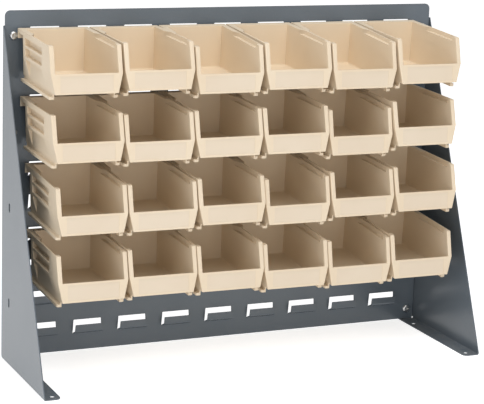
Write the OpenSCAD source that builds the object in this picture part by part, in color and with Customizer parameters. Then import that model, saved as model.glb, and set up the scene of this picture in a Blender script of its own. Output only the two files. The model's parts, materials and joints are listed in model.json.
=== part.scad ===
// Bench bin rack: a louvered steel panel on two bent end brackets, hung with moulded hook-on bins.
// Units are millimetres. Z is up, X runs along the rack, and the bin fronts face -Y.

/* [Panel] */
// Panel's side edge to the end bins of the first row, if they hung in the middle
end_gap = 23.9; // [12:0.1:60]
// Height of the panel's top edge above the bench
panel_top = 508; // [410:1:900]
// Thickness of all the steel sheet
sheet = 1.5; // [1:0.1:3]
// Radius of the panel's upper corners
panel_corner_r = 8; // [2:0.5:20]
// Radius of the panel's lower corners
panel_low_r = 2; // [1:0.5:20]
// Gap between the panel's lower edge and the foot flange under it
panel_foot_gap = 0.5; // [0.2:0.1:5]
// Gap between the panel's side edge and the bracket plate
panel_side_gap = 1; // [0.5:0.1:4]

/* [Louvers] */
// Least steel left between the outer slots and the bracket flanges
louver_side = 8; // [2:0.5:12]
// Least steel left below the lowest slots
louver_foot = 12; // [4:0.5:24]
// Pitch of the louvers along the panel
louver_pitch_x = 70.5; // [60:0.5:90]
// Pitch of the louvers up the panel
louver_pitch_z = 48.5; // [40:0.5:60]
// Panel's top edge down to the first slot
louver_first = 23.4; // [15:0.1:60]
// Width of a slot at its top
slot_w = 42.6; // [30:0.2:55]
// Height of a slot
slot_h = 21; // [16:0.5:30]
// Extra width of a slot at its foot, on each side
slot_flare = 1.5; // [0:0.1:4]
// Space between the panel's front face and the back of a tab
tab_reach = 8; // [5:0.5:14]
// Slot's top down to the tab's top edge
tab_drop = 5.8; // [3:0.1:9]
// Shear gap on each side of a tab
tab_side_gap = 0.6; // [0.3:0.1:2]
// Height over which a tab slopes out of the panel
tab_joggle = 4.5; // [3:0.5:7]

/* [Brackets] */
// Panel's front face to the tip of the foot
foot_reach = 203.2; // [170:0.2:350]
// Panel's top edge down to the top of the bracket
bracket_drop = 21.5; // [5:0.5:60]
// Height of the blunt tip of the bracket's front edge
bracket_nose = 4; // [3:0.5:20]
// Width of the foot and back flanges
flange_w = 25.4; // [20:0.2:40]
// Inside radius of the bends
bend_r = 1; // [0.5:0.1:3]
// Radius of the foot's inner front corner
foot_corner_r = 8; // [2:0.5:15]
// Bench screw hole
foot_hole_d = 7; // [4:0.1:9]
// Bracket's outer face to the middle of a bench hole
foot_hole_in = 15.5; // [11:0.5:18]
// Foot's tip to the front bench hole
foot_hole_front = 13; // [8:0.5:40]
// Panel's front face to the rear bench hole
foot_hole_rear = 29; // [15:0.5:60]
// Width of the upright slots in the side plates
side_slot_w = 6.5; // [4:0.1:10]
// Length of the upright slots in the side plates
side_slot_l = 13; // [10:0.5:20]
// Panel's front face to the middle of the side slots
side_slot_y = 35; // [20:0.5:60]
// Height of the lower side slot's middle
side_slot_low = 93; // [40:0.5:150]
// Distance between the two side slots
side_slot_pitch = 139.5; // [80:0.5:200]

/* [Fasteners] */
// Screw shank diameter
screw_d = 6; // [4:0.1:8]
// Screw hole through the panel and the flange
screw_hole_d = 6.6; // [4.4:0.1:8.8]
// Diameter of the pan head
head_d = 12; // [8:0.1:14]
// Height of the pan head
head_h = 3.8; // [2:0.1:4.2]
// Width of the cross recess
recess_w = 1.3; // [0.8:0.1:2]
// Span of the cross recess
recess_l = 6; // [3:0.1:8]
// Depth of the cross recess
recess_h = 2; // [1:0.1:3]
// Nut size across its flats
nut_af = 10; // [7:0.5:13]
// Height of the nut
nut_h = 6; // [3:0.1:8]
// Diameter of the nut's flange
nut_flange_d = 14; // [9:0.1:18]
// Thickness of the nut's flange
nut_flange_h = 1.4; // [0.8:0.1:2]
// Radial clearance of the nut's bore round the screw
nut_bore_clear = 0.05; // [0.02:0.01:0.2]
// Screw's end beyond the nut
screw_out = 1; // [0.5:0.1:5]
// Bracket's outer face to the line of screws
screw_in = 15; // [13:0.5:17]
// Panel's top edge down to the upper screws
screw_top_drop = 35.4; // [28:0.1:60]
// Height of the middle screws
screw_mid_z = 334; // [250:1:400]
// Height of the lower screws
screw_low_z = 18.5; // [12:0.1:40]

/* [Bins] */
// Width over the rim
rim_w = 103.2; // [85:0.2:130]
// Inset of the sides at the level of the front lip
lip_in = 0.2; // [0.1:0.1:3]
// Inset of the sides at the floor
base_in = 6.2; // [4:0.1:6.4]
// Rim's side to the inside of the wall, at the back
inside_rear = 8.6; // [8.4:0.1:16]
// Rim's side to the inside of the wall, at the front
inside_front = 6.4; // [5:0.1:8.4]
// Thickness of the walls and the floor
wall = 2; // [1.5:0.1:3]
// Back face to the front end of the rim
rim_len = 130.9; // [110:0.1:138]
// Back face to the top of the front lip
lip_len = 142.5; // [134:0.1:145]
// Back face to the foot of the front
bin_len = 145.3; // [143:0.1:160]
// Rim down to the top of the front lip
lip_drop = 36.6; // [25:0.2:46]
// Rim down to the underside of the floor
body_h = 64.1; // [56:0.1:68]
// Depth of the upright rim edge over the stacking ledge
rim_band = 6; // [4:0.5:8]
// Rim down to the stacking ledge
ledge_drop = 6.5; // [3:0.1:8]
// Thickness of the rim's outer edge
rim_edge = 2; // [1.5:0.1:3]
// Back face to the rear end of the ledge
ledge_rear = 37; // [15:1:60]
// Front of the rim to the front end of the ledge
ledge_front = 9; // [5:0.5:30]
// Projection of the runner rail below the floor
rail_drop = 9; // [5:0.5:12]
// Thickness of the runner rail
rail_t = 4; // [2:0.1:5]
// Inset of the runner rails
rail_in = 2.1; // [0.5:0.1:4]
// Setback of the rail's tip behind the front of the lip
rail_setback = 13; // [4:0.5:30]
// Thickness of the front wall
front_wall = 2.5; // [2:0.1:3.5]
// Forward lean of the back wall, over its height
back_draft = 2.4; // [1.6:0.1:4]
// Depth of the label field in the front
label_in = 0.6; // [0.3:0.1:1.4]
// Rim's side to the end of the label field
label_side = 13.6; // [10:0.1:30]
// Label field's edge to the lip's top and to the floor
label_edge = 2.6; // [1.5:0.1:5]

/* [Bin ribs] */
// Depth of the stepped-in rear corner, at the rim band
rear_set = 15; // [6:0.5:20]
// Inset of the rear corner below the rim band
rear_set_in = 4.4; // [1:0.1:5]
// Width of the post between the rear corner and the side recesses
rear_post = 8; // [4:0.5:14]
// Forward slant of that post, from the rim band down to the base
post_slant = 9; // [0:0.5:15]
// Width of the smooth front post at the upper recesses
front_post = 30; // [20:1:60]
// Forward slant of the lower recess's front edge
recess_slant = 8; // [0:1:12]
// Depth of the band above the upper recess
upper_rib = 8; // [7:0.2:14]
// Height of the upper recess
upper_recess = 10; // [6:0.5:14]
// Height of the rib between the upper and middle recesses
middle_rib = 3.5; // [2:0.1:5]
// Height of the middle recess
middle_recess = 11.5; // [4:0.5:13]
// Height of the rib between the middle and lower recesses
lower_rib = 4.5; // [2:0.5:8]

/* [Bin hook] */
// Thickness of the hook's bridge
hook_bridge = 4.5; // [3:0.1:7]
// Thickness of the hook's lip
hook_lip_t = 2.4; // [1.5:0.1:3]
// Clearance between the lip's lower edge and the slope of the tab
hook_floor_gap = 0.9; // [0.4:0.1:3]
// Clearance between the tab's top edge and the bridge
hook_seat = 0.25; // [0.1:0.05:1]
// Clearance between the back of the tab and the lip
hook_lip_gap = 1; // [0.6:0.1:2]
// Clearance between the front of the tab and the bin's back
hook_play = 5.2; // [5:0.1:7]

/* [Hanging] */
// Louver rows from one row of bins to the next
row_step = 2; // [2:1:3]
// Middle of each row of bins along the rack
row_mid = [-6.8, -6.1, 1.5, 2.9];
// Gap between neighbouring bins in each row
row_gap = [2.8, 1.4, 1.3, 1];
// Nose-down angle of every bin on its louvers, in degrees
hang = [
  [2.6, 1.8, 5.1, 4, 5.3, 3.5],
  [1.4, 2.7, 2.2, 2.2, 5.2, 1.5],
  [3.3, 3.6, 2.4, 5.2, 3.1, 2.2],
  [2.6, 2, 2.7, 4.7, 5.9, 4.7]
];

/* [Hidden] */
$fn = 48;
eps = 0.5;
steel = [0.42, 0.45, 0.48];
zinc = [0.75, 0.76, 0.78];
ivory = [0.93, 0.87, 0.77];

// The first row of bins sets the panel's width, and the panel holds as many louvers as fit
bins_across = 6;
panel_w = bins_across * rim_w + (bins_across - 1) * row_gap[0] + 2 * end_gap;

// Outer face of the brackets, and the panel's lower edge
half_w = panel_w / 2 + panel_side_gap + sheet;
panel_low = sheet + panel_foot_gap;
bracket_top = panel_top - bracket_drop;
bend_out = bend_r + sheet;
back_y = 2 * sheet;
rear_y = back_y + nut_h + screw_out;

// Moves the panel's front face back, so the rack's outline is centred on the origin
mid_y = (foot_reach - rear_y) / 2;

// The tab's middle is where a hook sits
seat_y = -(tab_reach + sheet / 2);
slot_top = panel_top - louver_first;
louver_field_w = 2 * (half_w - flange_w - louver_side);
louver_cols = floor((louver_field_w - slot_w - 2 * slot_flare) / louver_pitch_x) + 1;
louver_rows = floor((slot_top - slot_h - panel_low - louver_foot) / louver_pitch_z) + 1;
tab_low = slot_h - tab_joggle;
tab_run = tab_reach + sheet;
tab_rise = sheet * sqrt(tab_run * tab_run + tab_joggle * tab_joggle) / tab_run;
screw_x = half_w - screw_in;
screw_z = [panel_top - screw_top_drop, screw_mid_z, screw_low_z];

// Bin heights and depths are counted from the seat: back face, rim and floor
bin_back = -(sheet / 2 + hook_play);
bin_front = bin_back - bin_len;
bin_rim = hook_seat + hook_bridge;
hook_low = slope_z(tab_reach - hook_lip_gap) + tab_drop + hook_floor_gap;
lip_front = bin_back - rim_len;
lip_y = bin_back - lip_len;
bin_base = bin_rim - body_h;
floor_z = bin_base + wall;
lip_z = bin_rim - lip_drop;
rail_low = bin_base - rail_drop;
rim = rim_w / 2;
wall_out = rim - inside_rear + wall;
row_pitch = [for (g = row_gap) rim_w + g];
band_z = bin_rim - rim_band;
rear_post_y = bin_back - rear_set;
recess_front = lip_front + front_post;
top_1 = bin_rim - upper_rib;
low_1 = top_1 - upper_recess;
top_2 = low_1 - middle_rib;
low_2 = top_2 - middle_recess;
top_3 = low_2 - lower_rib;

// A Y-Z outline drawn out along X, from x0 over the length len
module along_x(x0, len) {
  translate([x0, 0, 0])
    rotate([90, 0, 90])
      linear_extrude(len)
        children();
}

// An X-Z outline drawn out along Y, forwards from y0 over the length len
module along_y(y0, len) {
  translate([0, y0, 0])
    rotate([90, 0, 0])
      linear_extrude(len)
        children();
}

// A bent sheet's section: two legs, with the outer corner at the origin
module angle_section(a, b) {
  difference() {
    union() {
      translate([bend_out, 0])
        square([a - bend_out, sheet]);
      translate([0, bend_out])
        square([sheet, b - bend_out]);
      intersection() {
        translate([bend_out, bend_out])
          circle(bend_out);
        square([bend_out, bend_out]);
      }
    }
    translate([bend_out, bend_out])
      circle(bend_r);
  }
}

// One louver's outline on the panel, narrowed by the gap g on each side
module louver_outline(g) {
  top = slot_w / 2 - g;
  low = top + slot_flare;
  polygon([[-low, -slot_h], [low, -slot_h], [top, 0], [-top, 0]]);
}

// Every louver outline at its place on the panel
module louver_field(g) {
  for (c = [0 : louver_cols - 1], r = [0 : louver_rows - 1])
    translate([(c - (louver_cols - 1) / 2) * louver_pitch_x, slot_top - r * louver_pitch_z])
      louver_outline(g);
}

// Upper side of a tab's slope below the slot's top, at the distance d in front of the panel
function slope_z(d) = tab_rise - slot_h + d * tab_joggle / tab_run;

// Section of one row of tabs: a root on the slot's lower edge, a slope, and an upright tab
module tab_section() {
  polygon([
    [0, -slot_h],
    [-tab_run, -tab_low],
    [-tab_run, -tab_drop],
    [-tab_reach, -tab_drop],
    [-tab_reach, slope_z(tab_reach)],
    [sheet, slope_z(-sheet)],
    [sheet, -slot_h]
  ]);
}

// Flat sheet with its slots and screw holes
module louvered_panel() {
  color(steel)
    translate([0, mid_y, 0])
      along_y(sheet, sheet)
        difference() {
          union() {
            height = panel_top - panel_low;
            translate([-panel_w / 2, panel_low + panel_low_r])
              square([panel_w, height - panel_corner_r - panel_low_r]);
            translate([-panel_w / 2 + panel_low_r, panel_low])
              square([panel_w - 2 * panel_low_r, height - panel_corner_r]);
            translate([-panel_w / 2 + panel_corner_r, panel_low + panel_low_r])
              square([panel_w - 2 * panel_corner_r, height - panel_low_r]);
            for (x = [-1, 1]) {
              translate([x * (panel_w / 2 - panel_corner_r), panel_top - panel_corner_r])
                circle(panel_corner_r);
              translate([x * (panel_w / 2 - panel_low_r), panel_low + panel_low_r])
                circle(panel_low_r);
            }
          }
          louver_field(0);
          for (x = [-1, 1], z = screw_z)
            translate([x * screw_x, z])
              circle(d = screw_hole_d);
        }
}

// Tabs of all the louvers, each standing on the lower edge of its slot
module louver_tabs() {
  color(steel)
    translate([0, mid_y, 0])
      intersection() {
        for (r = [0 : louver_rows - 1])
          translate([0, 0, slot_top - r * louver_pitch_z])
            along_x(-panel_w / 2, panel_w)
              tab_section();
        along_y(back_y, tab_reach + 4 * sheet)
          louver_field(tab_side_gap);
      }
}

// An upright slot through the right-hand plate, its middle at the height z
module side_slot(z) {
  h = side_slot_l - side_slot_w;
  along_x(half_w - sheet - eps, sheet + 2 * eps)
    translate([-side_slot_y, z]) {
      translate([-side_slot_w / 2, -h / 2])
        square([side_slot_w, h]);
      for (s = [-1, 1])
        translate([0, s * h / 2])
          circle(d = side_slot_w);
    }
}

// The right-hand end bracket, with the panel's front face at y = 0
module bracket() {
  foot_back = back_y - bend_out;
  difference() {
    intersection() {
      union() {
        along_x(half_w - sheet, sheet)
          polygon([[-foot_reach, bend_out], [foot_back, bend_out],
            [foot_back, bracket_top], [-foot_reach, bracket_top]]);
        translate([half_w, back_y, bend_out + sheet])
          rotate([0, 0, 180])
            linear_extrude(bracket_top - bend_out - sheet)
              angle_section(flange_w, 3 * bend_out);
        translate([half_w, 0, 0])
          mirror([1, 0, 0])
            along_y(foot_back, foot_reach + foot_back)
              angle_section(flange_w, 3 * bend_out);
      }
      along_x(half_w - flange_w - eps, flange_w + 2 * eps)
        polygon([[-foot_reach, -eps], [back_y + eps, -eps], [back_y + eps, bracket_top],
          [0, bracket_top], [-foot_reach, bracket_nose]]);
    }
    translate([half_w - flange_w, -foot_reach, -eps])
      difference() {
        translate([-eps, -eps, 0])
          cube([foot_corner_r + eps, foot_corner_r + eps, sheet + 2 * eps]);
        translate([foot_corner_r, foot_corner_r, -eps])
          cylinder(h = sheet + 4 * eps, r = foot_corner_r);
      }
    for (y = [-foot_reach + foot_hole_front, -foot_hole_rear])
      translate([half_w - foot_hole_in, y, -eps])
        cylinder(h = sheet + 2 * eps, d = foot_hole_d);
    for (z = screw_z)
      translate([screw_x, sheet - eps, z])
        rotate([-90, 0, 0])
          cylinder(h = sheet + 2 * eps, d = screw_hole_d);
    side_slot(side_slot_low);
    side_slot(side_slot_low + side_slot_pitch);
  }
}

module left_bracket() {
  color(steel)
    translate([0, mid_y, 0])
      mirror([1, 0, 0])
        bracket();
}

module right_bracket() {
  color(steel)
    translate([0, mid_y, 0])
      bracket();
}

// A pan-head screw along +Y, with the underside of its head at the origin
module screw() {
  rotate([-90, 0, 0])
    difference() {
      union() {
        rotate_extrude()
          polygon([[0, 0], [head_d / 2, 0], [head_d / 2, -0.45 * head_h], [0.44 * head_d, -0.78 * head_h],
            [0.3 * head_d, -0.96 * head_h], [0, -head_h]]);
        translate([0, 0, -eps])
          cylinder(h = rear_y + eps, d = screw_d);
      }
      for (a = [0, 90])
        rotate([0, 0, a])
          translate([-recess_l / 2, -recess_w / 2, -head_h - eps])
            cube([recess_l, recess_w, recess_h + eps]);
    }
}

// A hexagon nut along +Y, with the face of its flange at the origin
module flange_nut() {
  rotate([-90, 0, 0])
    difference() {
      union() {
        cylinder(h = nut_flange_h, d = nut_flange_d);
        cylinder(h = nut_h, d = nut_af / cos(30), $fn = 6);
      }
      translate([0, 0, -eps])
        cylinder(h = nut_h + 2 * eps, d = screw_d + 2 * nut_bore_clear);
    }
}

module panel_screws() {
  color(zinc)
    for (x = [-1, 1], z = screw_z)
      translate([x * screw_x, mid_y, z])
        screw();
}

module flange_nuts() {
  color(zinc)
    for (x = [-1, 1], z = screw_z)
      translate([x * screw_x, mid_y + back_y, z])
        flange_nut();
}

// The bin's cross section without its hollow, from the rim to the floor
module bin_section() {
  lip = rim - lip_in;
  base = rim - base_in;
  band = bin_rim - rim_band;
  polygon([[-rim, bin_rim], [-rim, band], [-lip, lip_z], [-base, bin_base],
    [base, bin_base], [lip, lip_z], [rim, band], [rim, bin_rim]]);
}

// Depth of the leaning front face at the height z
function front_y(z) = lip_y + (bin_front - lip_y) * (lip_z - z) / (lip_z - bin_base);

// Forward lean of the back wall at the height z
function back_lean(z) = back_draft * (hook_seat - z) / (hook_seat - rail_low);

// Half of the width inside at the depth y
function inner_x(y) = rim - inside_rear + (inside_rear - inside_front) * (bin_back - y) / bin_len;

// A slab in front of the sloping post faces and the leaning front, which cuts them
module front_slope() {
  along_x(-rim - eps, rim_w + 2 * eps)
    polygon([[lip_front, bin_rim], [lip_y, lip_z], [bin_front, bin_base], [bin_front - eps, bin_base],
      [bin_front - eps, bin_rim + eps], [lip_front, bin_rim + eps]]);
}

// A wedge behind the leaning back wall, which cuts it
module back_slope() {
  along_x(-rim - eps, rim_w + 2 * eps)
    polygon([[bin_back, hook_seat], [bin_back - back_draft, rail_low], [bin_back - back_draft, rail_low - eps],
      [bin_back + eps, rail_low - eps], [bin_back + eps, hook_seat]]);
}

// The bin's hollow, open at the top and above the front lip, a little wider at the front
module hollow() {
  rear = inner_x(bin_back);
  front = inner_x(bin_front - eps);
  low = rim - base_in - wall;
  intersection() {
    along_x(-rim, rim_w)
      polygon([[front_y(floor_z) + front_wall, floor_z], [bin_back - wall - back_lean(floor_z), floor_z],
        [bin_back - wall, bin_rim + eps], [bin_front - eps, bin_rim + eps], [bin_front - eps, lip_z],
        [lip_y + front_wall, lip_z]]);
    translate([0, 0, bin_base])
      linear_extrude(body_h + 2 * eps)
        polygon([[-rear, bin_back], [-front, bin_front - eps], [front, bin_front - eps], [rear, bin_back]]);
    along_y(bin_back, bin_len + eps)
      polygon([[-low, floor_z], [low, floor_z], [rim, lip_z], [rim, bin_rim + eps], [-rim, bin_rim + eps],
        [-rim, lip_z]]);
  }
}

// Shallow label field in the front
module label_field() {
  low = bin_base + label_edge;
  top = lip_z - label_edge;
  half = rim - label_side;
  along_x(-half, 2 * half)
    polygon([[front_y(low) - eps, low], [front_y(low) + label_in, low], [front_y(top) + label_in, top],
      [front_y(top) - eps, top]]);
}

// Rear edge of the slanted rear post at a height
function post_y(z) = rear_post_y - post_slant * (band_z - z) / (band_z - bin_base);

// Outline of a side recess in front of the slanted rear post
module recess_outline(low, top, tip) {
  polygon([[tip, low], [post_y(low) - rear_post, low], [post_y(top) - rear_post, top], [recess_front, top]]);
}

// Three recesses of the right-hand outer side, between the posts and the ribs, down to the wall
module side_recesses() {
  tip = recess_front - recess_slant;
  intersection() {
    along_x(0, rim_w) {
      recess_outline(low_1, top_1, recess_front);
      recess_outline(low_2, top_2, recess_front);
      recess_outline(bin_base - eps, top_3, tip);
    }
    translate([0, 0, bin_base - 2 * eps])
      linear_extrude(body_h)
        polygon([[inner_x(rear_post_y) + wall, rear_post_y], [rim_w, rear_post_y], [rim_w, tip],
          [inner_x(tip) + wall, tip]]);
  }
}

// Step that sets the right-hand rear corner in, behind the slanted rear post
module rear_step() {
  low = bin_base - eps;
  back = bin_back + eps;
  intersection() {
    along_y(back, bin_len)
      polygon([[rim - rear_set_in, band_z], [rim_w, band_z], [rim_w, low], [rim - base_in, low]]);
    along_x(0, rim_w)
      polygon([[back, low], [post_y(low), low], [post_y(band_z), band_z], [back, band_z]]);
  }
}

// Runner rail under the right-hand side wall
module rail() {
  len = bin_len - rail_setback;
  low = rail_low;
  along_y(bin_back, len)
    polygon([[wall_out - wall, bin_base + wall / 2], [wall_out - wall, low], [rim - rail_in, low],
      [rim - rail_in, low + rail_t], [wall_out, low + rail_t], [wall_out, bin_base + wall / 2]]);
}

// Rear hook: a bridge over the tab and a lip behind it
module hook() {
  in = sheet / 2 + hook_lip_gap;
  along_x(-rim, rim_w)
    polygon([[bin_back - wall / 2, bin_rim], [bin_back - wall / 2, hook_seat], [in, hook_seat],
      [in, hook_low], [in + hook_lip_t, hook_low], [in + hook_lip_t, bin_rim]]);
}

// One bin, with its hook's seat at the origin
module bin() {
  difference() {
    union() {
      along_y(bin_back, bin_len)
        bin_section();
      rail();
      mirror([1, 0, 0])
        rail();
      hook();
    }
    front_slope();
    back_slope();
    hollow();
    label_field();
    for (s = [0, 1])
      mirror([s, 0, 0]) {
        side_recesses();
        rear_step();
        translate([rim - inside_rear - eps, lip_front + ledge_front, bin_rim - ledge_drop])
          cube([inside_rear - rim_edge + eps, rim_len - ledge_front - ledge_rear, ledge_drop + eps]);
      }
  }
}

// The bin of row r and column c, hung on the tabs of its louver row
module hung_bin(r, c) {
  color(ivory)
    translate([row_mid[r] + (c - 2.5) * row_pitch[r], mid_y + seat_y,
        slot_top - tab_drop - r * row_step * louver_pitch_z])
      rotate([hang[r][c], 0, 0])
        bin();
}

module bin_r1_c1() {
  hung_bin(0, 0);
}

module bin_r1_c2() {
  hung_bin(0, 1);
}

module bin_r1_c3() {
  hung_bin(0, 2);
}

module bin_r1_c4() {
  hung_bin(0, 3);
}

module bin_r1_c5() {
  hung_bin(0, 4);
}

module bin_r1_c6() {
  hung_bin(0, 5);
}

module bin_r2_c1() {
  hung_bin(1, 0);
}

module bin_r2_c2() {
  hung_bin(1, 1);
}

module bin_r2_c3() {
  hung_bin(1, 2);
}

module bin_r2_c4() {
  hung_bin(1, 3);
}

module bin_r2_c5() {
  hung_bin(1, 4);
}

module bin_r2_c6() {
  hung_bin(1, 5);
}

module bin_r3_c1() {
  hung_bin(2, 0);
}

module bin_r3_c2() {
  hung_bin(2, 1);
}

module bin_r3_c3() {
  hung_bin(2, 2);
}

module bin_r3_c4() {
  hung_bin(2, 3);
}

module bin_r3_c5() {
  hung_bin(2, 4);
}

module bin_r3_c6() {
  hung_bin(2, 5);
}

module bin_r4_c1() {
  hung_bin(3, 0);
}

module bin_r4_c2() {
  hung_bin(3, 1);
}

module bin_r4_c3() {
  hung_bin(3, 2);
}

module bin_r4_c4() {
  hung_bin(3, 3);
}

module bin_r4_c5() {
  hung_bin(3, 4);
}

module bin_r4_c6() {
  hung_bin(3, 5);
}

louvered_panel();
louver_tabs();
left_bracket();
right_bracket();
panel_screws();
flange_nuts();
bin_r1_c1();
bin_r1_c2();
bin_r1_c3();
bin_r1_c4();
bin_r1_c5();
bin_r1_c6();
bin_r2_c1();
bin_r2_c2();
bin_r2_c3();
bin_r2_c4();
bin_r2_c5();
bin_r2_c6();
bin_r3_c1();
bin_r3_c2();
bin_r3_c3();
bin_r3_c4();
bin_r3_c5();
bin_r3_c6();
bin_r4_c1();
bin_r4_c2();
bin_r4_c3();
bin_r4_c4();
bin_r4_c5();
bin_r4_c6();
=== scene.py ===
"""Looks of the bench bin rack: a powder-coated louvered panel on two bent end brackets,
held by zinc-plated screws and hung with twenty-four moulded bins.

Sizes are in metres. X runs along the rack, -Y is the front and Z is up.
"""
import json
import math

import bpy
from mathutils import Matrix, Vector


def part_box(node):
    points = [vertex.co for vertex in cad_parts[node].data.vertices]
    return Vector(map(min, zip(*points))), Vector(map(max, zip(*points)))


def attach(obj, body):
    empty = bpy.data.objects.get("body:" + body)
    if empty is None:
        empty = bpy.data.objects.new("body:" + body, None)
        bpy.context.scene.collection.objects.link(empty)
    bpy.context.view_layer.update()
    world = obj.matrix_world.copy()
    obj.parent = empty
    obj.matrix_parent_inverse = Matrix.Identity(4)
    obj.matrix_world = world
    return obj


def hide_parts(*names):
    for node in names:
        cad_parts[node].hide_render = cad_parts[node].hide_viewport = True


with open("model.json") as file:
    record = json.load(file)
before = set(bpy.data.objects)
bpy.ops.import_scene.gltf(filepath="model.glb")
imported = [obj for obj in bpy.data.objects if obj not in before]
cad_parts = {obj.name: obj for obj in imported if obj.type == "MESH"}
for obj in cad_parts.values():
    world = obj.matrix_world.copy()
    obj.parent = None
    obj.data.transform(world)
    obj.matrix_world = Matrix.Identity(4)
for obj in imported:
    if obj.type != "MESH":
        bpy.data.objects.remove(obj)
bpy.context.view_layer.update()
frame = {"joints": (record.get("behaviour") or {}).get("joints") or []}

# Working values: what counts as one place, and how far a cutting tool reaches
NEAR = 0.00002
MERGE_NEAR = 1e-6
OVER = 0.004
DRILL_L = 0.02

# Angles in degrees: what is flat, what is a sharp edge, and what is shaded smoothly
FLAT_ANGLE = 0.2
SHARP_ANGLE = 40
RIB_SHARP_ANGLE = 55
SMOOTH_ANGLE = 48

# Steel sheet and panel
SHEET = 0.0015
SHEET_ROUND = 0.00025
PANEL_LOW, PANEL_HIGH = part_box("louvered_panel")
PANEL_BACK = PANEL_HIGH.y
PANEL_FRONT = PANEL_BACK - SHEET
PANEL_CORNER = 0.008
PANEL_LOW_CORNER = 0.0004
PANEL_CLEAR = 0.0001
PANEL_FOOT = SHEET + PANEL_CLEAR

# Louvers, counted from the slot's top and the panel's front face
LOUVER_COLS = 9
LOUVER_ROWS = 10
LOUVER_PITCH_X = 0.0705
LOUVER_PITCH_Z = 0.0485
PLAIN_STRIP = 0.0234
SLOT_TOP = PANEL_HIGH.z - PLAIN_STRIP
SLOT_W = 0.0426
SLOT_H = 0.021
SLOT_FLARE = 0.0015
TAB_REACH = 0.008
TAB_RUN = TAB_REACH + SHEET
TAB_DROP = 0.0058
TAB_GAP = 0.0006
TAB_JOGGLE = 0.0045
TAB_RISE = 0.00166
TAB_BEND_OUT = 0.0026
TAB_BEND_IN = 0.0012
TAB_ROUND = 0.0002

# Brackets, counted from the panel's front face
BRACKET_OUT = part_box("right_bracket")[1].x
BRACKET_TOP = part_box("right_bracket")[1].z
BRACKET_NOSE = 0.004
BRACKET_ROUND = 0.0003
BEND_OUT = 0.0025
FLANGE_W = 0.0254
FOOT_REACH = 0.2032
FOOT_CORNER = 0.008
FOOT_HOLE_D = 0.007
FOOT_HOLE_IN = 0.0155
FOOT_HOLES_Y = (-0.1902, -0.029)
HEEL_GAP = 0.0002
HEEL_IN = BEND_OUT + HEEL_GAP
SIDE_SLOT_W = 0.0065
SIDE_SLOT_L = 0.013
SIDE_SLOT_Y = -0.035
SIDE_SLOTS_Z = (0.093, 0.2325)

# Fasteners
SCREW_IN = 0.015
SCREW_X = BRACKET_OUT - SCREW_IN
TOP_SCREW_DROP = 0.0354
SCREWS_Z = (PANEL_HIGH.z - TOP_SCREW_DROP, 0.334, 0.0185)
SCREW_D = 0.006
SCREW_HOLE_D = 0.0066
SCREW_OUT = 0.001
SCREW_CHAMFER = 0.0006
HEAD_D = 0.012
HEAD_H = 0.0038
HEAD_ROUND = 0.0026
CROSS_W = 0.0013
CROSS_L = 0.006
CROSS_H = 0.002
CROSS_OVER = 0.001
NUT_AF = 0.010
NUT_H = 0.006
NUT_SIDES = 6
NUT_CHAMFER = 0.0006
NUT_FLANGE_D = 0.014
NUT_FLANGE_H = 0.0014
THREAD_GAP = 0.0001
FASTENER_ROUND = 0.0001

# Hook of a bin, counted from its seat on the louver tab
HOOK_SEAT = 0.00025
HOOK_BRIDGE = 0.0045
HOOK_LIP = 0.0024
HOOK_LIP_GAP = 0.001
HOOK_LOW = -0.0093
BACK_GAP = 0.0052

# Body of a bin
BIN_COLS = 6
LOUVERS_PER_BIN = 2
RIM = 0.0516
RIM_LEN = 0.1309
RIM_BAND = 0.006
WALL = 0.002
FRONT_WALL = 0.0025
LIP_IN = 0.0002
LIP_LEN = 0.1425
LIP_DROP = 0.0366
BASE_IN = 0.0062
BASE_DROP = 0.0641
BIN_LEN = 0.1453
BIN_BACK = -(SHEET / 2 + BACK_GAP)
BIN_FRONT = BIN_BACK - BIN_LEN
BIN_RIM = HOOK_SEAT + HOOK_BRIDGE
BIN_BASE = BIN_RIM - BASE_DROP
RIM_FRONT = BIN_BACK - RIM_LEN
LIP_Y = BIN_BACK - LIP_LEN
LIP_Z = BIN_RIM - LIP_DROP
INSIDE_REAR = 0.0086
INSIDE_FRONT = 0.0064
BACK_DRAFT = 0.0024
POST_ROUND = 0.0012
FLOOR_ROUND = 0.0025
EDGE_ROUND = 0.0004
RIB_ROUND = 0.00012

# Ledges, runner rails and label field of a bin
LEDGE_DROP = 0.0065
LEDGE_IN = 0.002
LEDGE_REAR = 0.037
LEDGE_FRONT = 0.009
LEDGE_SLANT = 0.012
RIM_EDGE = 0.002
RAIL_H = 0.009
RAIL_LOW = BIN_BASE - RAIL_H
RAIL_T = 0.004
RAIL_IN = 0.0021
RAIL_STEP = 0.0006
RAIL_SETBACK = 0.013
RAIL_CORNER = 0.003
LABEL_IN = 0.0006
LABEL_SIDE = 0.0136
LABEL_EDGE = 0.0026
LABEL_FACING = -0.9

# Outer sides of a bin: a recess has a top and a foot, counted from the rim
REAR_SET = 0.015
REAR_SET_IN = 0.0044
REAR_OVER = 0.0005
REAR_POST = 0.008
POST_SLANT = 0.009
RECESS_SETBACK = 0.030
RECESS_FRONT = RIM_FRONT + RECESS_SETBACK
RECESS_SLANT = 0.008
UPPER_RECESS = (-0.008, -0.018)
MIDDLE_RECESS = (-0.0215, -0.033)
LOWER_RECESS = (-0.0375, -0.0646)

# Powder coat: a scale counts per metre, and a pair is the span of the roughness
COAT_DARK = (0.106, 0.13, 0.154, 1)
COAT_PALE = (0.127, 0.151, 0.177, 1)
COAT_WORN = (0.3, 0.32, 0.34, 1)
COAT_CLOUD_SCALE = 5.0
COAT_GRAIN_SCALE = 1300.0
COAT_WEAR_REACH = 0.0012
COAT_WEAR = 0.3
COAT_FILM = 0.16
COAT_ROUGH = (0.2, 0.28)
COAT_BUMP = 0.1

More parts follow.
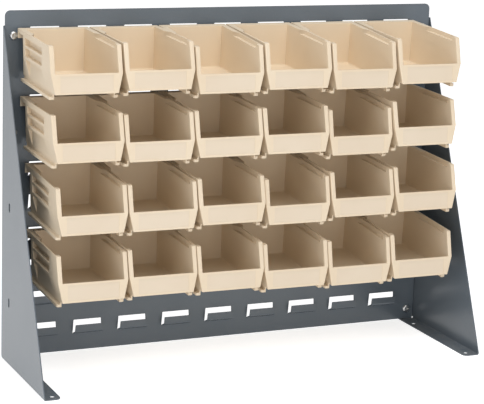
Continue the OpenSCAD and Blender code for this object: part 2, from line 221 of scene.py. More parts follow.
# Zinc plate
ZINC_DULL = (0.6, 0.61, 0.62, 1)
ZINC_BRIGHT = (0.8, 0.79, 0.76, 1)
ZINC_WORN = (0.9, 0.9, 0.88, 1)
ZINC_CLOUD_SCALE = 220.0
ZINC_GRAIN_SCALE = 4000.0
ZINC_WEAR_REACH = 0.0004
ZINC_ROUGH = (0.2, 0.34)
ZINC_BUMP = 0.05

# Moulded plastic, a little greyer in the label field
IVORY_WARM = (0.79, 0.65, 0.475, 1)
IVORY_PALE = (0.815, 0.685, 0.515, 1)
FIELD_WARM = (0.752, 0.628, 0.48, 1)
FIELD_PALE = (0.772, 0.656, 0.512, 1)
IVORY_CLOUD_SCALE = 11.0
IVORY_GRAIN_SCALE = 1700.0
IVORY_FILM = 0.1
IVORY_ROUGH = (0.38, 0.5)
IVORY_BUMP = 0.08

# Grain of every finish, and dust on the coat and the plastic
GRAIN_HEIGHT = 0.0002
DUST = (0.6, 0.57, 0.52, 1)

# Camera, found from the photograph, with its angles in degrees and its lens in millimetres
CAMERA_PLACE = (-1.0690, -2.3418, 0.8146)
CAMERA_AZIMUTH = 24.325
CAMERA_ELEVATION = 12.713
CAMERA_ROLL = 2.03
CAMERA_LENS = 134.48
CAMERA_SENSOR = 36

# Studio: each light has a place, an aim, a width, a height and a power
WHITE = (1, 1, 1, 1)
SURROUND = 0.45
FLOOR_SIZE = 80
FLOOR_PALE = (0.8, 0.8, 0.8, 1)
FLOOR_ROUGH = 0.9
FLOOR_GLOW = 0.7
FLOOR_BOUNCE = 0.25
SOFTBOXES = {
    "key_light": ((-0.5, -1.9, 2.5), (0, 0, 0.2), 2.0, 1.4, 22.5),
    "top_light": ((-0.3, -0.5, 2.4), (0, -0.1, 0.2), 2.0, 1.0, 18),
    "front_fill": ((-0.3, -3.0, 0.7), (0, 0, 0.2), 2.6, 1.0, 10),
    "left_fill": ((-2.4, -0.7, 0.35), (-0.3, 0, 0.15), 1.8, 1.6, 10),
}


# Modelling by hand

def put_down():
    """Leaves edit mode with nothing selected."""
    if bpy.context.object and bpy.context.object.mode != "OBJECT":
        bpy.ops.object.mode_set(mode="OBJECT")
    bpy.ops.object.select_all(action="DESELECT")


def take_up(piece):
    """Makes the piece the only selected one."""
    put_down()
    piece.select_set(True)
    bpy.context.view_layer.objects.active = piece


def select(piece, kind, wanted):
    """Opens the piece in edit mode with the wanted vertices or edges selected."""
    take_up(piece)
    bpy.ops.object.mode_set(mode="EDIT")
    bpy.ops.mesh.select_mode(type=kind)
    bpy.ops.mesh.select_all(action="DESELECT")
    bpy.ops.object.mode_set(mode="OBJECT")
    mesh = piece.data
    if kind == "VERT":
        for v in mesh.vertices:
            v.select = wanted(v.co)
    else:
        for e in mesh.edges:
            e.select = wanted(mesh.vertices[e.vertices[0]].co, mesh.vertices[e.vertices[1]].co)
    bpy.ops.object.mode_set(mode="EDIT")


def everything(piece):
    """Opens the piece in edit mode with all of it selected."""
    take_up(piece)
    bpy.ops.object.mode_set(mode="EDIT")
    bpy.ops.mesh.select_mode(type="VERT")
    bpy.ops.mesh.select_all(action="SELECT")


def face_outwards(piece):
    """Merges doubles and makes all faces agree, outwards on a closed piece."""
    everything(piece)
    bpy.ops.mesh.remove_doubles(threshold=MERGE_NEAR)
    bpy.ops.mesh.normals_make_consistent(inside=False)
    put_down()


def block(name, low, high):
    """A box between two corners."""
    put_down()
    low, high = Vector(low), Vector(high)
    bpy.ops.mesh.primitive_cube_add(size=1, location=(low + high) / 2)
    piece = bpy.context.object
    piece.name = name
    piece.scale = high - low
    bpy.ops.object.transform_apply(location=True, rotation=True, scale=True)
    return piece


def rod(name, middle, axis, diameter, length, sides=32):
    """A round or many-sided rod along Y or Z."""
    put_down()
    turn = (math.pi / 2, 0, 0) if axis == "Y" else (0, 0, 0)
    bpy.ops.mesh.primitive_cylinder_add(
        vertices=sides, radius=diameter / 2, depth=length, location=middle, rotation=turn)
    piece = bpy.context.object
    piece.name = name
    bpy.ops.object.transform_apply(location=True, rotation=True, scale=True)
    return piece


def outlined(name, outline, axis, at):
    """A flat face with a Y-Z outline at an X, or an X-Z outline at a Y."""
    put_down()
    bpy.ops.mesh.primitive_circle_add(vertices=len(outline), radius=1, fill_type="NGON")
    piece = bpy.context.object
    piece.name = name
    for v, (a, z) in zip(piece.data.vertices, outline):
        v.co = (at, a, z) if axis == "X" else (a, at, z)
    return piece


def drawn(name, outline, axis, start, end):
    """An outline drawn out into a solid: a Y-Z outline along X, or an X-Z outline along Y."""
    piece = outlined(name, outline, axis, start)
    way = (end - start, 0, 0) if axis == "X" else (0, end - start, 0)
    everything(piece)
    bpy.ops.mesh.extrude_region_move(TRANSFORM_OT_translate={"value": way})
    face_outwards(piece)
    return piece


def flanged(piece, wanted, way):
    """Draws a flange out of the wanted edges of a sheet."""
    select(piece, "EDGE", wanted)
    bpy.ops.mesh.extrude_edges_move(TRANSFORM_OT_translate={"value": way})
    put_down()


def rounded(piece, wanted, radius, steps):
    """Rounds the wanted edges of a piece."""
    select(piece, "EDGE", wanted)
    bpy.ops.mesh.bevel(offset=radius, segments=steps, affect="EDGES")
    put_down()


def combine(piece, tool, operation, solver="EXACT"):
    """Joins the tool to the piece, or cuts the piece with it, and uses the tool up."""
    take_up(piece)
    step = piece.modifiers.new("combine", "BOOLEAN")
    step.operation = operation
    step.solver = solver
    step.object = tool
    bpy.ops.object.modifier_apply(modifier=step.name)
    bpy.data.objects.remove(tool)


def mirrored(piece):
    """A copy of the piece on the other side of the middle plane."""
    twin = piece.copy()
    twin.data = piece.data.copy()
    bpy.context.collection.objects.link(twin)
    twin.data.transform(Matrix.Scale(-1, 4, (1, 0, 0)))
    face_outwards(twin)
    return twin


def pair(piece):
    """The left-hand mirror image of a right-hand piece, and the piece itself."""
    return mirrored(piece), piece


def repeated(piece, count, way):
    """Repeats the piece in a row, all in one mesh."""
    take_up(piece)
    step = piece.modifiers.new("repeat", "ARRAY")
    step.count = count
    step.use_relative_offset = False
    step.use_constant_offset = True
    step.constant_offset_displace = way
    bpy.ops.object.modifier_apply(modifier=step.name)


def soften(piece, radius, steps, angle=SHARP_ANGLE):
    """Joins faces that lie in one plane, then rounds every edge sharper than the angle."""
    everything(piece)
    bpy.ops.mesh.remove_doubles(threshold=2 * MERGE_NEAR)
    bpy.ops.mesh.dissolve_limited(angle_limit=math.radians(FLAT_ANGLE))
    take_up(piece)
    step = piece.modifiers.new("soften", "BEVEL")
    step.limit_method = "ANGLE"
    step.angle_limit = math.radians(angle)
    step.width = radius
    step.segments = steps
    step.use_clamp_overlap = False
    bpy.ops.object.modifier_apply(modifier=step.name)


def shade(piece):
    """Shades the rounded edges smoothly and keeps the flat faces flat."""
    take_up(piece)
    bpy.ops.object.shade_smooth_by_angle(angle=math.radians(SMOOTH_ANGLE))
    step = piece.modifiers.new("flats", "WEIGHTED_NORMAL")
    step.weight = 100
    step.keep_sharp = True
    bpy.ops.object.modifier_apply(modifier=step.name)
    return piece


def merged(name, pieces):
    """One piece made of several separate ones."""
    put_down()
    for piece in pieces:
        piece.select_set(True)
    bpy.context.view_layer.objects.active = pieces[0]
    bpy.ops.object.join()
    whole = bpy.context.object
    whole.name = name
    return whole


def copy_to(piece, name, place):
    """A copy of the piece with a mesh of its own, moved by the matrix."""
    other = piece.copy()
    other.name = name
    other.data = piece.data.copy()
    other.data.transform(place)
    bpy.context.collection.objects.link(other)
    return other


# Louvered panel

def slope_z(distance):
    """Upper side of a tab's slope below the slot's top, at a distance in front of the panel."""
    return TAB_RISE - SLOT_H + distance * TAB_JOGGLE / TAB_RUN


def louver_place(piece):
    """Moves a louver's piece to the first slot and repeats it over the panel."""
    first = ((1 - LOUVER_COLS) / 2 * LOUVER_PITCH_X, PANEL_FRONT, SLOT_TOP)
    piece.data.transform(Matrix.Translation(first))
    repeated(piece, LOUVER_COLS, (LOUVER_PITCH_X, 0, 0))
    repeated(piece, LOUVER_ROWS, (0, 0, -LOUVER_PITCH_Z))
    return piece


def slot_cut():
    """The opening of one louver, a little wider at its foot."""
    top, low = SLOT_W / 2, SLOT_W / 2 + SLOT_FLARE
    outline = [(-low, -SLOT_H), (low, -SLOT_H), (top, 0), (-top, 0)]
    return drawn("slot_cut", outline, "Y", -OVER, SHEET + OVER)


def louver_tab():
    """One tab: lanced out of its slot, widened as the slot is, bent forwards and then upwards."""
    half, outer_bend = SLOT_W / 2 - TAB_GAP, TAB_JOGGLE - SLOT_H
    inner_bend, root = slope_z(TAB_REACH), slope_z(-SHEET)
    tab = drawn("louver_tab", [(0, -SLOT_H), (-TAB_RUN, outer_bend), (-TAB_RUN, -TAB_DROP),
        (-TAB_REACH, -TAB_DROP), (-TAB_REACH, inner_bend), (SHEET, root), (SHEET, -SLOT_H)],
        "X", -half, half)
    for z in (outer_bend, inner_bend, root, -SLOT_H, -TAB_DROP):
        select(tab, "VERT", lambda co: abs(co.z - z) < NEAR)
        bpy.ops.transform.resize(value=(1 - SLOT_FLARE * z / SLOT_H / half, 1, 1))
    for y, z, radius in ((-TAB_RUN, outer_bend, TAB_BEND_OUT), (-TAB_REACH, inner_bend, TAB_BEND_IN)):
        rounded(tab, lambda a, b: max(abs(a.y - y), abs(b.y - y), abs(a.z - z), abs(b.z - z)) < NEAR,
            radius, steps=3)
    soften(tab, TAB_ROUND, steps=1)
    return louver_place(shade(tab))


def louvered_sheet():
    """The flat sheet with its slots, screw holes and bent tabs."""
    sheet = block("louvered_sheet", (PANEL_LOW.x, PANEL_FRONT, PANEL_FOOT), PANEL_HIGH)
    rounded(sheet, lambda a, b: abs(a.y - b.y) > SHEET / 2 and a.z > PANEL_HIGH.z - NEAR,
        PANEL_CORNER, steps=8)
    rounded(sheet, lambda a, b: abs(a.y - b.y) > SHEET / 2 and a.z < PANEL_FOOT + NEAR,
        PANEL_LOW_CORNER, steps=4)
    combine(sheet, louver_place(slot_cut()), "DIFFERENCE")
    for x in (-SCREW_X, SCREW_X):
        for z in SCREWS_Z:
            hole = rod("screw_hole", (x, PANEL_FRONT, z), "Y", SCREW_HOLE_D, DRILL_L, sides=24)
            combine(sheet, hole, "DIFFERENCE")
    soften(sheet, SHEET_ROUND, steps=1)
    return merged("louvered_sheet", [shade(sheet), louver_tab()])


# Brackets

def folded_plate():
    """The right-hand bracket's outer face: a side plate folded into a foot flange and a back flange.

    The corner between the two folds is cut away, and the foot flange runs on under the panel.
    """
    back = 2 * SHEET
    nook = BEND_OUT + SHEET / 2
    foot_end = back - BEND_OUT - SHEET / 2
    heel_x = BRACKET_OUT - HEEL_IN
    outline = [(-FOOT_REACH, 0), (foot_end, 0), (foot_end, nook), (back, nook), (back, BRACKET_TOP),
        (0, BRACKET_TOP), (-FOOT_REACH, BRACKET_NOSE)]
    plate = outlined("right_plate", [(PANEL_FRONT + y, z) for y, z in outline], "X", BRACKET_OUT)

    def at_foot(a, b):
        return max(a.z, b.z) < NEAR

    def at_back(a, b):
        return min(a.y, b.y) > PANEL_FRONT + back - NEAR

    def at_heel(a, b):
        behind = min(a.y, b.y) > PANEL_FRONT + foot_end - NEAR
        return at_foot(a, b) and behind and max(a.x, b.x) < heel_x + NEAR

    def on_fold(a, b):
        return min(a.x, b.x) > BRACKET_OUT - NEAR and (at_foot(a, b) or at_back(a, b))

    def at_toe(co):
        return co.x < BRACKET_OUT - FLANGE_W + NEAR and co.y < PANEL_FRONT - FOOT_REACH + NEAR

    flanged(plate, at_foot, (-FLANGE_W, 0, 0))
    flanged(plate, at_back, (-FLANGE_W, 0, 0))
    everything(plate)
    bpy.ops.mesh.bisect(plane_co=(heel_x, 0, 0), plane_no=(1, 0, 0))
    flanged(plate, at_heel, (0, back - foot_end, 0))
    rounded(plate, on_fold, BEND_OUT, steps=5)
    select(plate, "VERT", at_toe)
    bpy.ops.mesh.bevel(offset=FOOT_CORNER, segments=8, affect="VERTICES")
    face_outwards(plate)
    return plate


def thickened(plate):
    """Gives the folded plate the sheet's thickness, on its inner side."""
    widest = max(plate.data.polygons, key=lambda f: f.area)
    if widest.normal.x < 0:
        everything(plate)
        bpy.ops.mesh.flip_normals()
    take_up(plate)
    step = plate.modifiers.new("sheet", "SOLIDIFY")
    step.thickness = SHEET
    step.offset = -1
    step.use_even_offset = True
    bpy.ops.object.modifier_apply(modifier=step.name)


def side_slot(z):
    """The cut for a round-ended slot through the side plate at a height."""
    y = PANEL_FRONT + SIDE_SLOT_Y
    slot = block("side_slot", (BRACKET_OUT - DRILL_L / 2, y - SIDE_SLOT_W / 2, z - SIDE_SLOT_L / 2),
        (BRACKET_OUT + DRILL_L / 2, y + SIDE_SLOT_W / 2, z + SIDE_SLOT_L / 2))
    rounded(slot, lambda a, b: abs(a.x - b.x) > DRILL_L / 2, SIDE_SLOT_W / 2 - NEAR, steps=6)
    return slot


def bracket():
    """The right-hand end bracket: a folded plate pierced with bench holes, screw holes and side slots."""
    plate = folded_plate()
    thickened(plate)
    for y in FOOT_HOLES_Y:
        middle = (BRACKET_OUT - FOOT_HOLE_IN, PANEL_FRONT + y, 0)
        combine(plate, rod("bench_hole", middle, "Z", FOOT_HOLE_D, DRILL_L), "DIFFERENCE")
    for z in SCREWS_Z:
        hole = rod("screw_hole", (SCREW_X, PANEL_BACK, z), "Y", SCREW_HOLE_D, DRILL_L, sides=24)
        combine(plate, hole, "DIFFERENCE")
    for z in SIDE_SLOTS_Z:
        combine(plate, side_slot(z), "DIFFERENCE")
    soften(plate, BRACKET_ROUND, steps=2)
    return shade(plate)


# Fasteners

def pan_screw():
    """A pan-head screw along Y, with the underside of its head at the origin."""
    head = rod("screw_head", (0, -HEAD_H / 2, 0), "Y", HEAD_D, HEAD_H, sides=40)
    rounded(head, lambda a, b: max(a.y, b.y) < -HEAD_H + NEAR, HEAD_ROUND, steps=6)
    for x, z in ((CROSS_L / 2, CROSS_W / 2), (CROSS_W / 2, CROSS_L / 2)):
        recess = block("cross_recess", (-x, -HEAD_H - CROSS_OVER, -z), (x, -HEAD_H + CROSS_H, z))
        combine(head, recess, "DIFFERENCE")
    soften(head, FASTENER_ROUND, steps=1)
    length = 2 * SHEET + NUT_H + SCREW_OUT
    shank = rod("screw_shank", (0, length / 2 - NEAR, 0), "Y", SCREW_D, length, sides=24)
    rounded(shank, lambda a, b: min(a.y, b.y) > length / 2, SCREW_CHAMFER, steps=1)
    return merged("pan_screw", [shade(head), shade(shank)])


def flange_nut():
    """A hexagon nut with a washer flange along Y, with the flange's face at the origin."""
    start = NUT_FLANGE_H / 2
    across_corners = NUT_AF / math.cos(math.pi / NUT_SIDES)
    nut = rod("flange_nut", (0, (start + NUT_H) / 2, 0), "Y", across_corners, NUT_H - start, NUT_SIDES)
    rounded(nut, lambda a, b: min(a.y, b.y) > NUT_H - NEAR, NUT_CHAMFER, steps=2)
    flange = rod("nut_flange", (0, NUT_FLANGE_H / 2, 0), "Y", NUT_FLANGE_D, NUT_FLANGE_H, sides=40)
    rounded(flange, lambda a, b: min(a.y, b.y) > NUT_FLANGE_H - NEAR, NUT_CHAMFER, steps=3)
    combine(nut, flange, "UNION")
    bore = rod("nut_bore", (0, NUT_H / 2, 0), "Y", SCREW_D + THREAD_GAP, DRILL_L, sides=24)
    combine(nut, bore, "DIFFERENCE")
    soften(nut, FASTENER_ROUND, steps=1)
    return shade(nut)


def at_every_screw(piece, y):
    """Copies of a fastener at all six screw places, in one piece."""
    places = [Matrix.Translation((x, y, z)) for x in (-SCREW_X, SCREW_X) for z in SCREWS_Z]
    copies = [copy_to(piece, piece.name + str(i), place) for i, place in enumerate(places)]
    name = piece.name + "s"
    bpy.data.objects.remove(piece)
    return merged(name, copies)


# Bins

def front_y(z):
    """Depth of the bin's leaning front at a height."""
    return LIP_Y + (BIN_FRONT - LIP_Y) * (LIP_Z - z) / (LIP_Z - BIN_BASE)


def back_lean(z):
    """Forward lean of the bin's back wall at a height."""
    return BACK_DRAFT * (HOOK_SEAT - z) / (HOOK_SEAT - RAIL_LOW)


def inner_x(y):
    """Half of the bin's width inside at a depth."""
    return RIM - INSIDE_REAR + (INSIDE_REAR - INSIDE_FRONT) * (BIN_BACK - y) / BIN_LEN


def post_y(z):
    """Rear edge of the slanted rear post at a height."""
    return BIN_BACK - REAR_SET - POST_SLANT * (BIN_RIM - RIM_BAND - z) / (BIN_RIM - RIM_BAND - BIN_BASE)


def bin_shell():
    """The bin's outer body: tapered sides, a low leaning front, a leaning back and the rear hook."""
    inner = SHEET / 2 + HOOK_LIP_GAP
    outer = inner + HOOK_LIP
    body = drawn("moulded_bin", [(RIM_FRONT, BIN_RIM), (LIP_Y, LIP_Z), (BIN_FRONT, BIN_BASE),
        (BIN_BACK - back_lean(BIN_BASE), BIN_BASE), (BIN_BACK, HOOK_SEAT), (inner, HOOK_SEAT),
        (inner, HOOK_LOW), (outer, HOOK_LOW), (outer, BIN_RIM)], "X", -RIM, RIM)
    for z in (BIN_RIM - RIM_BAND, LIP_Z):
        everything(body)
        bpy.ops.mesh.bisect(plane_co=(0, 0, z), plane_no=(0, 0, 1))
    for z, inset in ((LIP_Z, LIP_IN), (BIN_BASE, BASE_IN)):
        select(body, "VERT", lambda co: abs(co.z - z) < NEAR)
        bpy.ops.transform.resize(value=(1 - inset / RIM, 1, 1))
    rounded(body, lambda a, b: max(a.y, b.y) < RIM_FRONT + NEAR and a.x * b.x > 0, POST_ROUND, steps=3)
    return body


def runner_rail():
    """The right-hand runner under the bin, with a turned-out foot."""
    inner, outer = RIM - INSIDE_REAR - RAIL_STEP, RIM - RAIL_IN
    top, front = BIN_BASE + WALL / 2, BIN_FRONT + RAIL_SETBACK
    rail = drawn("runner_rail", [(inner, top), (inner, RAIL_LOW), (outer, RAIL_LOW),
        (outer, RAIL_LOW + RAIL_T), (inner + WALL, RAIL_LOW + RAIL_T), (inner + WALL, top)],
        "Y", BIN_BACK, front)
    rounded(rail, lambda a, b: max(a.y, b.y) < front + NEAR and min(a.x, b.x) > outer - NEAR,
        RAIL_CORNER, steps=4)
    everything(rail)
    bpy.ops.mesh.bisect(plane_co=(0, BIN_BACK, HOOK_SEAT),
        plane_no=(0, HOOK_SEAT - RAIL_LOW, -BACK_DRAFT), use_fill=True, clear_outer=True)
    face_outwards(rail)
    return rail


def bin_hollow():
    """The space inside the bin, open at the top and above the lip, and rounded along the floor."""
    floor, over, ahead = BIN_BASE + WALL, BIN_RIM + OVER, BIN_FRONT - OVER
    rear = BIN_BACK - WALL
    room = drawn("bin_hollow", [(front_y(floor) + FRONT_WALL, floor), (rear - back_lean(floor), floor),
        (rear, over), (ahead, over), (ahead, LIP_Z), (LIP_Y + FRONT_WALL, LIP_Z)], "X", -RIM, RIM)
    for v in room.data.vertices:
        v.co.x = math.copysign(inner_x(v.co.y), v.co.x)
    rounded(room, lambda a, b: max(a.z, b.z) < floor + NEAR, FLOOR_ROUND, steps=3)
    return room


def stacking_ledge():
    """The step inside the right-hand rim that carries the runner of a bin stacked on top."""
    outer, rear = RIM - RIM_EDGE, BIN_BACK - LEDGE_REAR
    low = (RIM - INSIDE_REAR - LEDGE_IN, RIM_FRONT + LEDGE_FRONT, BIN_RIM - LEDGE_DROP)
    ledge = block("stacking_ledge", low, (outer, rear, BIN_RIM + OVER))
    select(ledge, "VERT", lambda co: co.x > outer - NEAR and co.y > rear - NEAR)
    bpy.ops.transform.translate(value=(0, -LEDGE_SLANT, 0))
    put_down()
    return ledge


def label_field():
    """The shallow field for a label in the bin's front."""
    low, top, half = BIN_BASE + LABEL_EDGE, LIP_Z - LABEL_EDGE, RIM - LABEL_SIDE
    return drawn("label_field", [(front_y(low) - OVER, low), (front_y(low) + LABEL_IN, low),
        (front_y(top) + LABEL_IN, top), (front_y(top) - OVER, top)], "X", -half, half)


def mark_label_field(piece):
    """Gives the ground of the label field the bin's second finish."""
    for face in piece.data.polygons:
        middle = face.center
        in_field = abs(middle.x) < RIM - LABEL_SIDE
        on_ground = abs(middle.y - front_y(middle.z) - LABEL_IN) < NEAR
        if face.normal.y < LABEL_FACING and on_ground and in_field:
            face.material_index = 1


def side_recess(top, low, slant):
    """A recess between the ribs of the right-hand outer side, down to the wall."""
    top, low = BIN_RIM + top, BIN_RIM + low
    recess = drawn("side_recess", [(RECESS_FRONT - slant, low), (post_y(low) - REAR_POST, low),
        (post_y(top) - REAR_POST, top), (RECESS_FRONT, top)], "X", 0, 2 * RIM)
    for v in recess.data.vertices:
        if v.co.x < NEAR:
            v.co.x = inner_x(v.co.y) + WALL
    return recess


def rear_step():
    """The step that sets the right-hand rear corner in, behind the slanted rear post."""
    band, low, back = BIN_RIM - RIM_BAND, BIN_BASE - REAR_OVER, BIN_BACK + REAR_OVER
    outline = [(back, low), (post_y(low), low), (post_y(band), band), (back, band)]
    step = drawn("rear_step", outline, "X", 0, 2 * RIM)
    for v in step.data.vertices:
        if v.co.x < NEAR:
            v.co.x = RIM - (BASE_IN if v.co.z < LIP_Z else REAR_SET_IN)
    return step


def moulded_bin():
    """One bin with its hook's seat at the origin."""
    shell = bin_shell()
    for rail in pair(runner_rail()):
        combine(shell, rail, "UNION")
    combine(shell, bin_hollow(), "DIFFERENCE")
    for ledge in pair(stacking_ledge()):
        combine(shell, ledge, "DIFFERENCE")
    soften(shell, EDGE_ROUND, steps=2)
    # The exact solver splits the faces around these cuts in another way from run to run.
    combine(shell, label_field(), "DIFFERENCE", "MANIFOLD")
    for (top, low), slant in ((UPPER_RECESS, 0), (MIDDLE_RECESS, 0), (LOWER_RECESS, RECESS_SLANT)):
        for recess in pair(side_recess(top, low, slant)):
            combine(shell, recess, "DIFFERENCE", "MANIFOLD")
    for step in pair(rear_step()):
        combine(shell, step, "DIFFERENCE", "MANIFOLD")
    # The manifold solver leaves an empty material slot.
    shell.data.materials.clear()
    soften(shell, RIB_ROUND, steps=1, angle=RIB_SHARP_ANGLE)
    mark_label_field(shade(shell))
    return shell


def hung(row, joint):
    """The place of a bin: its hook on the tabs of its louver row, turned as its lifting axis is."""
    low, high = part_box(joint["child"])
    tab_z = SLOT_TOP - TAB_DROP - LOUVERS_PER_BIN * row * LOUVER_PITCH_Z
    seat = ((low.x + high.x) / 2, PANEL_FRONT - TAB_REACH - SHEET / 2, tab_z)
    tilt = math.atan2(-joint["axis"][1], joint["axis"][2])
    return Matrix.Translation(seat) @ Matrix.Rotation(tilt, 4, "X")


# Nodes of a material

def feed(tree, socket, value):
    """Links an output to a socket, or sets the socket's value."""
    if isinstance(value, bpy.types.NodeSocket):
        tree.links.new(value, socket)
    else:
        socket.default_value = value


def put(tree, kind, settings=(), **inputs):
    """Adds a node, sets its settings, and gives its inputs a value or a link."""
    node = tree.nodes.new("ShaderNode" + kind)
    for key, value in dict(settings).items():
        setattr(node, key, value)
    for key, value in inputs.items():
        feed(tree, node.inputs[key.replace("_", " ")], value)
    return node.outputs


def use(tree, group, **inputs):
    """Adds a node group to a material."""
    return put(tree, "Group", {"node_tree": group}, **inputs)


def worked(tree, kind, operation, first, second):
    """Adds a node that works one value out of two."""
    outputs = put(tree, kind, {"operation": operation})
    feed(tree, outputs[0].node.inputs[0], first)
    feed(tree, outputs[0].node.inputs[1], second)
    return outputs


def mixed(tree, mask, first, second):
    """A colour between two colours by a mask."""
    node = tree.nodes.new("ShaderNodeMix")
    node.data_type = "RGBA"
    # A mix of colours has its factor, first and second colour at these inputs
    for socket, value in ((0, mask), (6, first), (7, second)):
        feed(tree, node.inputs[socket], value)
    return node.outputs[2]


def node_group(name, inputs, outputs):
    """An empty shader node group with named sockets, and its two ends."""
    group = bpy.data.node_groups.new(name, "ShaderNodeTree")
    for socket, kind in inputs:
        group.interface.new_socket(name=socket, in_out="INPUT", socket_type="NodeSocket" + kind)
    for socket, kind in outputs:
        group.interface.new_socket(name=socket, in_out="OUTPUT", socket_type="NodeSocket" + kind)
    return group, group.nodes.new("NodeGroupInput").outputs, group.nodes.new("NodeGroupOutput").inputs


# Effects that several finishes share

def fine_grain_group():
    """A fine even grain, as of a sprayed, plated or moulded skin."""
    sockets = [("Vector", "Vector"), ("Scale", "Float")]
    group, ins, outs = node_group("fine_grain", sockets, [("Grain", "Float")])
    noise = put(group, "TexNoise", Vector=ins["Vector"], Scale=ins["Scale"], Detail=3.0, Roughness=0.6)
    spread = put(group, "MapRange", Value=noise[0], From_Min=0.3, From_Max=0.7)
    feed(group, outs["Grain"], spread[0])
    return group


def cloudy_tone_group():
    """Two near tones in soft clouds."""
    sockets = [("Vector", "Vector"), ("Scale", "Float"), ("First Tone", "Color"), ("Second Tone", "Color")]
    group, ins, outs = node_group("cloudy_tone", sockets, [("Tone", "Color")])
    noise = put(group, "TexNoise", Vector=ins["Vector"], Scale=ins["Scale"], Detail=4.0, Roughness=0.55)
    cloud = put(group, "MapRange", Value=noise[0], From_Min=0.35, From_Max=0.65)
    feed(group, outs["Tone"], mixed(group, cloud[0], ins["First Tone"], ins["Second Tone"]))
    return group


def worn_edge_group():
    """A broken mask along outer edges."""
    sockets = [("Vector", "Vector"), ("Reach", "Float")]
    group, ins, outs = node_group("worn_edge", sockets, [("Mask", "Float")])
    flat = put(group, "NewGeometry")
    rounded_off = put(group, "Bevel", {"samples": 4}, Radius=ins["Reach"])
    alike = worked(group, "VectorMath", "DOT_PRODUCT", flat["Normal"], rounded_off[0])
    edge = put(group, "MapRange", Value=alike["Value"], From_Min=0.98, From_Max=0.8)
    breaks = put(group, "TexNoise", Vector=ins["Vector"], Scale=160.0, Detail=2.0)
    kept = put(group, "MapRange", Value=breaks[0], From_Min=0.4, From_Max=0.62)
    feed(group, outs["Mask"], worked(group, "Math", "MULTIPLY", edge[0], kept[0])[0])
    return group


def settled_dust_group():
    """A thin uneven mask on faces that look up."""
    sockets = [("Vector", "Vector"), ("Amount", "Float")]
    group, ins, outs = node_group("settled_dust", sockets, [("Mask", "Float")])
    turn = put(group, "SeparateXYZ", Vector=put(group, "NewGeometry")["Normal"])
    upward = put(group, "MapRange", Value=turn["Z"], From_Min=0.55, From_Max=0.95)
    specks = put(group, "TexNoise", Vector=ins["Vector"], Scale=45.0, Detail=6.0, Roughness=0.7)
    kept = put(group, "MapRange", Value=specks[0], From_Min=0.35, From_Max=0.75, To_Max=ins["Amount"])
    feed(group, outs["Mask"], worked(group, "Math", "MULTIPLY", upward[0], kept[0])[0])
    return group


# Finishes

def new_material(name):
    """A new material, its node tree and its shader's inputs."""
    material = bpy.data.materials.new(name)
    material.use_nodes = True
    return material, material.node_tree, material.node_tree.nodes["Principled BSDF"].inputs


def grained_skin(tree, shader, skin, rough, bump):
    """Lets the shader's roughness and normal follow the grain of the skin."""
    span = put(tree, "MapRange", Value=skin, To_Min=rough[0], To_Max=rough[1])
    tilt = put(tree, "Bump", Strength=bump, Distance=GRAIN_HEIGHT, Height=skin)
    feed(tree, shader["Roughness"], span[0])
    feed(tree, shader["Normal"], tilt["Normal"])


def powder_coat(grain, cloud, edge, dust):
    """Smooth dark grey powder coat, a little paler along worn edges."""
    material, tree, shader = new_material("grey_powder_coat")
    place = put(tree, "TexCoord")["Object"]
    tone = use(tree, cloud, Vector=place, Scale=COAT_CLOUD_SCALE,
        First_Tone=COAT_DARK, Second_Tone=COAT_PALE)
    worn = use(tree, edge, Vector=place, Reach=COAT_WEAR_REACH)
    skin = use(tree, grain, Vector=place, Scale=COAT_GRAIN_SCALE)
    film = use(tree, dust, Vector=place, Amount=COAT_FILM)
    wear = put(tree, "MapRange", Value=worn[0], To_Max=COAT_WEAR)
    colour = mixed(tree, wear[0], tone["Tone"], COAT_WORN)
    feed(tree, shader["Base Color"], mixed(tree, film[0], colour, DUST))
    grained_skin(tree, shader, skin[0], COAT_ROUGH, COAT_BUMP)
    return material


def zinc_plate(grain, cloud, edge):
    """Bright zinc plate with cloudy patches."""
    material, tree, shader = new_material("zinc_plate")
    place = put(tree, "TexCoord")["Object"]
    tone = use(tree, cloud, Vector=place, Scale=ZINC_CLOUD_SCALE,
        First_Tone=ZINC_DULL, Second_Tone=ZINC_BRIGHT)
    worn = use(tree, edge, Vector=place, Reach=ZINC_WEAR_REACH)
    skin = use(tree, grain, Vector=place, Scale=ZINC_GRAIN_SCALE)
    feed(tree, shader["Base Color"], mixed(tree, worn[0], tone["Tone"], ZINC_WORN))
    shader["Metallic"].default_value = 1.0
    grained_skin(tree, shader, skin[0], ZINC_ROUGH, ZINC_BUMP)
    return material


def moulded_ivory(name, warm, pale, grain, cloud, dust):
    """Ivory moulded plastic with a satin skin, in two near tones."""
    material, tree, shader = new_material(name)
    place = put(tree, "TexCoord")["Object"]
    tone = use(tree, cloud, Vector=place, Scale=IVORY_CLOUD_SCALE, First_Tone=warm, Second_Tone=pale)
    skin = use(tree, grain, Vector=place, Scale=IVORY_GRAIN_SCALE)
    film = use(tree, dust, Vector=place, Amount=IVORY_FILM)
    feed(tree, shader["Base Color"], mixed(tree, film[0], tone["Tone"], DUST))
    grained_skin(tree, shader, skin[0], IVORY_ROUGH, IVORY_BUMP)
    return material


# Putting the rack together

def fit(piece, finishes, slot, body, *nodes):
    """Gives a piece its finishes and lets it stand for its CAD nodes."""
    for finish in finishes:
        piece.data.materials.append(finish)
    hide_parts(*nodes)
    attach(piece, body)


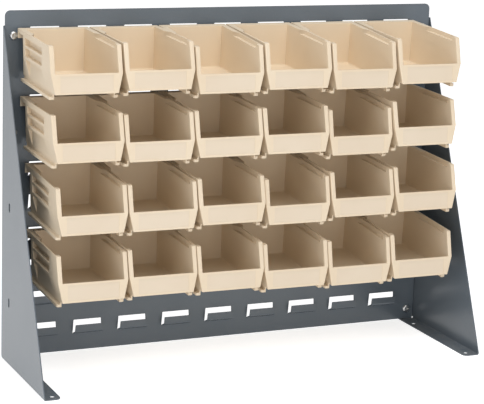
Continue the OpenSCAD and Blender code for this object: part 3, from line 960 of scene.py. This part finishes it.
def make_rack():
    """The louvered sheet, the brackets, the fasteners and all the bins."""
    grain, cloud = fine_grain_group(), cloudy_tone_group()
    edge, dust = worn_edge_group(), settled_dust_group()
    coat = [powder_coat(grain, cloud, edge, dust)]
    zinc = [zinc_plate(grain, cloud, edge)]
    plastic = [moulded_ivory("moulded_ivory", IVORY_WARM, IVORY_PALE, grain, cloud, dust),
        moulded_ivory("label_field_ivory", FIELD_WARM, FIELD_PALE, grain, cloud, dust)]
    fit(louvered_sheet(), coat, "steel_paint", "rack", "louvered_panel", "louver_tabs")
    left, right = pair(bracket())
    left.name = "left_plate"
    fit(shade(left), coat, "steel_paint", "rack", "left_bracket")
    fit(right, coat, "steel_paint", "rack", "right_bracket")
    fit(at_every_screw(pan_screw(), PANEL_FRONT), zinc, "zinc", "rack", "panel_screws")
    fit(at_every_screw(flange_nut(), PANEL_BACK + SHEET), zinc, "zinc", "rack", "flange_nuts")
    first = moulded_bin()
    for number, joint in enumerate(frame["joints"]):
        node = joint["child"]
        piece = copy_to(first, "moulded_" + node, hung(number // BIN_COLS, joint))
        fit(piece, plastic, "bin_plastic", node, node)
    bpy.data.objects.remove(first)


# Camera and studio

def photo_camera():
    """The camera at the photograph's place, turn and focal length."""
    azimuth, elevation = math.radians(CAMERA_AZIMUTH), math.radians(CAMERA_ELEVATION)
    roll = math.radians(CAMERA_ROLL)
    level = math.cos(elevation)
    ahead = Vector((math.sin(azimuth) * level, math.cos(azimuth) * level, -math.sin(elevation)))
    level_right = Vector((math.cos(azimuth), -math.sin(azimuth), 0))
    level_up = level_right.cross(ahead)
    right = level_right * math.cos(roll) + level_up * math.sin(roll)
    up = level_up * math.cos(roll) - level_right * math.sin(roll)
    data = bpy.data.cameras.new("photo_camera")
    data.sensor_width = CAMERA_SENSOR
    data.lens = CAMERA_LENS
    camera = bpy.data.objects.new("photo_camera", data)
    turn = Matrix((right, up, -ahead)).transposed().to_4x4()
    camera.matrix_world = Matrix.Translation(CAMERA_PLACE) @ turn
    bpy.context.collection.objects.link(camera)
    bpy.context.scene.camera = camera


def studio_floor():
    """A pale floor that looks white to the camera and in reflections, and lights the rack a little."""
    put_down()
    bpy.ops.mesh.primitive_plane_add(size=FLOOR_SIZE, location=(0, 0, 0))
    floor = bpy.context.object
    floor.name = "studio_floor"
    paper, tree, shader = new_material("pale_floor")
    shader["Base Color"].default_value = FLOOR_PALE
    shader["Roughness"].default_value = FLOOR_ROUGH
    shader["Emission Color"].default_value = WHITE
    path = put(tree, "LightPath")
    seen = worked(tree, "Math", "MAXIMUM", path["Is Camera Ray"], path["Is Glossy Ray"])
    glow = put(tree, "MapRange", Value=seen[0], To_Min=FLOOR_BOUNCE, To_Max=FLOOR_GLOW)
    feed(tree, shader["Emission Strength"], glow[0])
    floor.data.materials.append(paper)


def softbox(name, place, aim, width, height, power):
    """A soft rectangular light at a place, turned to what it lights."""
    data = bpy.data.lights.new(name, "AREA")
    data.shape = "RECTANGLE"
    data.size, data.size_y, data.energy = width, height, power
    light = bpy.data.objects.new(name, data)
    light.location = place
    light.rotation_euler = (Vector(aim) - Vector(place)).to_track_quat("-Z", "Y").to_euler()
    bpy.context.collection.objects.link(light)


def studio():
    """A pale floor, a white surround and four softboxes."""
    studio_floor()
    world = bpy.data.worlds.new("white_surround")
    world.use_nodes = True
    background = world.node_tree.nodes["Background"].inputs
    background["Color"].default_value = WHITE
    background["Strength"].default_value = SURROUND
    bpy.context.scene.world = world
    for name, setting in SOFTBOXES.items():
        softbox(name, *setting)
    bpy.context.scene.view_settings.view_transform = "Standard"


make_rack()
photo_camera()
studio()
